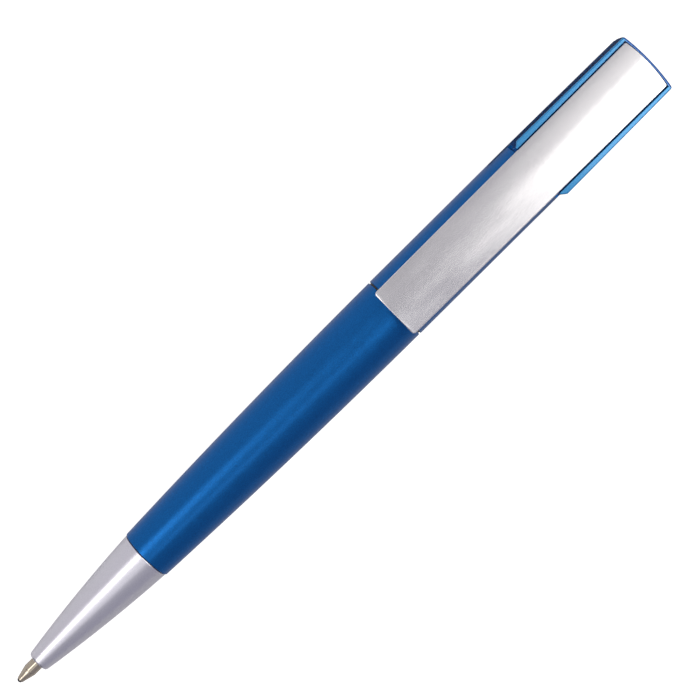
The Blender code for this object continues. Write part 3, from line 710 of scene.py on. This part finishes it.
def make_bead():
    """The rounded bead under the clip's free end."""
    bm = bmesh.new()
    low = UPPER_RADIUS + BEAD_GAP
    size = Matrix.Diagonal((BEAD_RADIUS, BEAD_HALF_LENGTH, BEAD_RADIUS, 1.0))
    middle = Matrix.Translation(TIP_POINT + Vector((BEAD_STATION, 0.0, low + BEAD_RADIUS)) * MM)
    bmesh.ops.create_uvsphere(bm, u_segments=48, v_segments=24, radius=MM, matrix=middle @ size)
    top = TIP_POINT + Vector((0.0, 0.0, CLIP_UNDERSIDE + 0.3)) * MM
    geometry = bm.verts[:] + bm.edges[:] + bm.faces[:]
    bmesh.ops.bisect_plane(bm, geom=geometry, plane_co=top, plane_no=(0, 0, 1), clear_outer=True)
    bmesh.ops.holes_fill(bm, edges=bm.edges[:])
    return to_object("bead", bm)


# --- Writing tip, washer and ball ---------------------------------------------------

def make_writing_tip():
    """Nickel-silver tip, turned in over the ball at its mouth."""
    neck, shaft, back, shaft_back, ink_bore = 0.95, 1.14, 13.5, 10.5, 0.26
    corners = [(neck, back, 0.05), (neck, shaft_back, 0.0), (shaft, shaft_back, 0.08), (shaft, 2.65, 0.06)]
    corners += [(1.10, 2.55, 0.04), (0.93, 1.85, 0.6), (0.72, 1.07, 0.4), (0.56, 0.42, 0.02)]
    for i in range(11):
        angle = radians(81 + 69 * i / 10)
        corners.append((SOCKET_RADIUS * sin(angle), BALL_RADIUS - SOCKET_RADIUS * cos(angle), 0.0))
    corners += [(ink_bore, back, 0.02)]
    dress(turned("writing_tip_fine", corners, 96), "refill", "nickel_silver", "writing_tip")


def make_slip_washer():
    """The dark washer between the halves, whose flange fills the seam just inside the barrels' surface."""
    front, back = station("slip_washer", 0), station("slip_washer", 1)
    radius = (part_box("slip_washer")[1].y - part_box("slip_washer")[0].y) / 2 / MM
    flange = UPPER_RADIUS - WASHER_DEPTH
    flange_front, flange_back = LOWER_BACK + WASHER_GAP, UPPER_FRONT - WASHER_GAP
    corners = [(WASHER_BORE, front, 0.03), (WASHER_BORE, back, 0.03), (radius, back, 0.03)]
    corners += [(radius, flange_back, 0.0), (flange, flange_back, 0.04), (flange, flange_front, 0.04)]
    corners += [(radius, flange_front, 0.0), (radius, front, 0.03)]
    dress(turned("slip_washer_fine", corners), "lower_body", "black_plastic", "slip_washer")


def make_ball():
    """The writing ball."""
    bm = bmesh.new()
    centre = Matrix.Translation(TIP_POINT + Vector((BALL_RADIUS * MM, 0.0, 0.0)))
    bmesh.ops.create_uvsphere(bm, u_segments=48, v_segments=32, radius=BALL_RADIUS * MM, matrix=centre)
    dress(to_object("writing_ball_fine", bm), "ball", "carbide", "writing_ball")


def dress_inner_nodes():
    """Materials and slots for the CAD nodes; the inner ones keep their CAD shape."""
    slots = {row["node"]: row["material_slot"] for row in frame["record"]["subparts"]}
    for name, ob in NODES.items():
        ob.data.materials.clear()
        ob.data.materials.append(MATERIALS[slots[name]])


# --- Studio -------------------------------------------------------------------------

# The camera's target on the pen and its distance, in millimetres
VIEW_STATION, VIEW_SIDE = 76.87, 0.27
CAMERA_DISTANCE = 303.3
CAMERA_ROLL = radians(44.79)
PEN_TURN = radians(5.1)
FOCAL_LENGTH = 95.15
# Distance of the lights, half the floors' width, and how far to either side of the axis the pale floor's
# painted shade fades, in metres
LIGHT_DISTANCE = 1.5
FLOOR_HALF_SIZE = 4.0
PAINTED_SHADE_REACH = 0.02


def make_camera():
    """A camera above the pen, on the side of its axis that shows the clip turned away a little."""
    data = bpy.data.cameras.new("camera")
    data.sensor_width = 36.0
    data.lens = FOCAL_LENGTH
    data.clip_start, data.clip_end = 0.01, 10.0
    camera = bpy.data.objects.new("camera", data)
    bpy.context.scene.collection.objects.link(camera)
    back = Vector((0.0, sin(PEN_TURN), cos(PEN_TURN)))
    along_pen = Vector((1.0, 0.0, 0.0))
    across = back.cross(along_pen)
    right = along_pen * cos(CAMERA_ROLL) - across * sin(CAMERA_ROLL)
    up = along_pen * sin(CAMERA_ROLL) + across * cos(CAMERA_ROLL)
    turn = Matrix((right, up, back)).transposed()
    target = TIP_POINT + Vector((VIEW_STATION, VIEW_SIDE, 0.0)) * MM
    camera.matrix_world = Matrix.Translation(target + back * CAMERA_DISTANCE * MM) @ turn.to_4x4()
    bpy.context.scene.camera = camera


def soft_box(name, along_pen, across_pen, spread_along, spread_across, radiance, colour=(1.0, 1.0, 1.0)):
    """A soft box as the pen sees it: its lean from the vertical and its extent, all in degrees."""
    a, c = radians(along_pen), radians(across_pen)
    back = Vector((tan(a), tan(c), 1.0)).normalized()
    side = Vector((1.0, 0.0, 0.0)).cross(back).normalized() * -1
    right = side.cross(back)
    data = bpy.data.lights.new(name, "AREA")
    data.shape = "RECTANGLE"
    data.size = 2 * LIGHT_DISTANCE * tan(radians(spread_along / 2))
    data.size_y = 2 * LIGHT_DISTANCE * tan(radians(spread_across / 2))
    data.energy = radiance * pi * data.size * data.size_y
    data.color = colour
    light = bpy.data.objects.new(name, data)
    bpy.context.scene.collection.objects.link(light)
    target = TIP_POINT + Vector((LENGTH / 2, 0.0, 0.0)) * MM
    turn = Matrix((right, side, back)).transposed()
    light.matrix_world = Matrix.Translation(target + back * LIGHT_DISTANCE) @ turn.to_4x4()
    light.visible_camera = False


def level_sheet(name, top, colour):
    """A big level sheet for the stage, at a height in metres."""
    bm = bmesh.new()
    place = Matrix.Translation((0.0, 0.0, top))
    bmesh.ops.create_grid(bm, x_segments=1, y_segments=1, size=FLOOR_HALF_SIZE, matrix=place)
    sheet = to_object(name, bm)
    material, tree, shader = new_material(name, colour, 0.0, 0.9)
    sheet.data.materials.append(material)
    return sheet, tree, shader


def make_floor():
    """A white sheet for the eye, and a pale one under it that gives the pen its light from below, with a
    painted shade that darkens it on the pen's right.
    """
    grey = (0.30, 0.30, 0.30)
    seen, tree, shader = level_sheet("white_floor", -0.0001, grey)
    mottle = tint(tree, noise(tree, 60.0), shade(grey, 0.98), shade(grey, 1.02))
    tree.links.new(mottle, shader.inputs["Base Color"])
    shader.inputs["Emission Color"].default_value = (1.0, 1.0, 1.0, 1.0)
    shader.inputs["Emission Strength"].default_value = 0.92
    seen.visible_diffuse = seen.visible_glossy = seen.visible_transmission = seen.visible_shadow = False
    # Painted shade: the pale floor is darker on the pen's right, where it stands in for the pen's own shadow,
    # than on its left.
    right, left = (0.44, 0.44, 0.46), (0.66, 0.66, 0.67)
    bounce, tree, shader = level_sheet("pale_floor", -0.0002, right)
    painted_shade_across = spread(tree, coordinate(tree, "Y"), 0.0, 1.0, -PAINTED_SHADE_REACH, PAINTED_SHADE_REACH)
    tree.links.new(tint(tree, painted_shade_across, right, left, 0.0, 1.0), shader.inputs["Base Color"])
    bounce.visible_camera = False


def dark_card(name, middle, along_pen, across_pen, upright=False):
    """A dark card that only reflections show: its middle in pen coordinates and its two sizes."""
    bm = bmesh.new()
    size = Matrix.Diagonal((along_pen * MM, across_pen * MM, 1.0, 1.0))
    turn = Matrix.Rotation(pi / 2, 4, "Y") if upright else Matrix.Identity(4)
    place = Matrix.Translation(TIP_POINT + Vector(middle) * MM)
    bmesh.ops.create_grid(bm, x_segments=1, y_segments=1, size=0.5, matrix=place @ turn @ size)
    card = to_object(name, bm)
    material, tree, shader = new_material(name, (0.02, 0.02, 0.025), 0.0, 0.9)
    dark_card_mottle = tint(tree, noise(tree, 3.0), (0.018, 0.018, 0.022), (0.022, 0.022, 0.028))
    tree.links.new(dark_card_mottle, shader.inputs["Base Color"])
    card.data.materials.append(material)
    card.visible_camera = card.visible_diffuse = card.visible_shadow = False


def make_dark_cards():
    """Cards under the pen's top, ahead of its tip and behind its end, which draw dark edges in reflections.
    The one under the top is a painted shadow: the pen's contact shade, seen in its lower sides.
    """
    floor = -TIP_POINT.z / MM - 0.15
    # Painted shadow: the card under the pen's top stands for the pen's contact shade, which the frame's and
    # barrel's lower sides reflect.
    dark_card("painted_shadow_card", ((FRAME_FRONT + LENGTH + 1.0) / 2, 0.0, floor), LENGTH - FRAME_FRONT + 8, 20)
    dark_card("front_card", (-200.0, 0.0, 40.0), 90.0, 400.0, upright=True)
    dark_card("back_card", (LENGTH + 200.0, 0.0, 40.0), 90.0, 400.0, upright=True)


def make_surround():
    """Grey room, a little lighter on the pen's left and a little bluer on its right.

    The camera itself sees white beyond the floor.
    """
    world = bpy.data.worlds.new("surround")
    bpy.context.scene.world = world
    world.use_nodes = True
    tree = world.node_tree
    direction = add(tree, "ShaderNodeTexCoord")
    split = add(tree, "ShaderNodeSeparateXYZ")
    tree.links.new(direction.outputs["Generated"], split.inputs["Vector"])
    across = spread(tree, split.outputs["Y"], 0.0, 1.0, -1.0, 1.0)
    ramp = add(tree, "ShaderNodeValToRGB")
    ramp.color_ramp.elements[0].color = (0.36, 0.355, 0.43, 1.0)
    ramp.color_ramp.elements[1].color = (0.74, 0.725, 0.765, 1.0)
    ramp.color_ramp.elements.new(0.62).color = (0.47, 0.46, 0.49, 1.0)
    tree.links.new(across, ramp.inputs["Fac"])
    room = tree.nodes["Background"]
    tree.links.new(ramp.outputs["Color"], room.inputs["Color"])
    backdrop = add(tree, "ShaderNodeBackground", Color=(1.0, 1.0, 1.0, 1.0))
    seen = add(tree, "ShaderNodeLightPath")
    choice = add(tree, "ShaderNodeMixShader")
    tree.links.new(seen.outputs["Is Camera Ray"], choice.inputs["Fac"])
    tree.links.new(room.outputs["Background"], choice.inputs[1])
    tree.links.new(backdrop.outputs["Background"], choice.inputs[2])
    tree.links.new(choice.outputs["Shader"], tree.nodes["World Output"].inputs["Surface"])


def make_studio():
    """Floor, room and soft boxes, shown without any film curve."""
    make_floor()
    make_dark_cards()
    make_surround()
    soft_box("left_box", -29, 22, 30, 20, 2.6, (1.0, 0.96, 0.96))
    soft_box("front_fill", -27, -8, 30, 26, 0.45)
    soft_box("right_box", 37, -21.5, 48, 36, 3.0, (1.0, 0.985, 0.93))
    soft_box("right_glow", 36, 2, 55, 20, 0.55, (1.0, 0.985, 0.94))
    soft_box("left_glow", -8, 16, 15, 26, 0.2)
    soft_box("right_tail", -8, -16, 12, 14, 0.8)
    soft_box("tip_box", -46, 9, 16, 22, 2.0)
    view = bpy.context.scene.view_settings
    view.view_transform = "Standard"
    view.look = "None"


dress_inner_nodes()
make_nose()
make_lower_barrel()
make_upper_barrel()
make_clip_frame()
make_clip()
make_writing_tip()
make_slip_washer()
make_ball()
make_camera()
make_studio()
